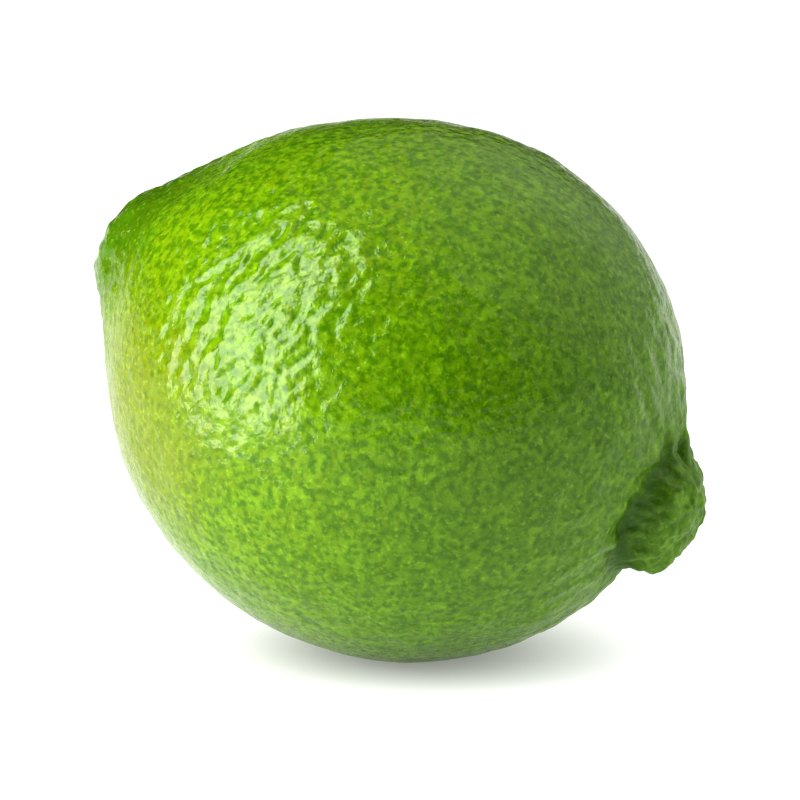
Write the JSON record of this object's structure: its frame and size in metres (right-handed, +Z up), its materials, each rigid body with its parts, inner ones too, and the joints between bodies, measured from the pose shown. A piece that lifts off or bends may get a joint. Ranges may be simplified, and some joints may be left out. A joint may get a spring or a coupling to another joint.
{
  "type": "lime",
  "caption": "Whole green lime with a short neck at the stem end and a blunt nipple at the other, lying on a small flat spot of its rind.",
  "frame": {"origin": "middle of the small flat spot of rind that the fruit rests on", "axes": "+Z up, away from the surface it rests on; +X towards the nipple end, which lies low, with the stem end high at -X; the fruit's own axis is in the XZ plane"},
  "size_m": [0.0629, 0.054, 0.0534],
  "materials": {
    "rind": "waxy, finely pitted citrus rind, green with a yellow-green flush near the stem end"
  },
  "bodies": {
    "root": {"lime": "rind"}
  },
  "joints": []
}
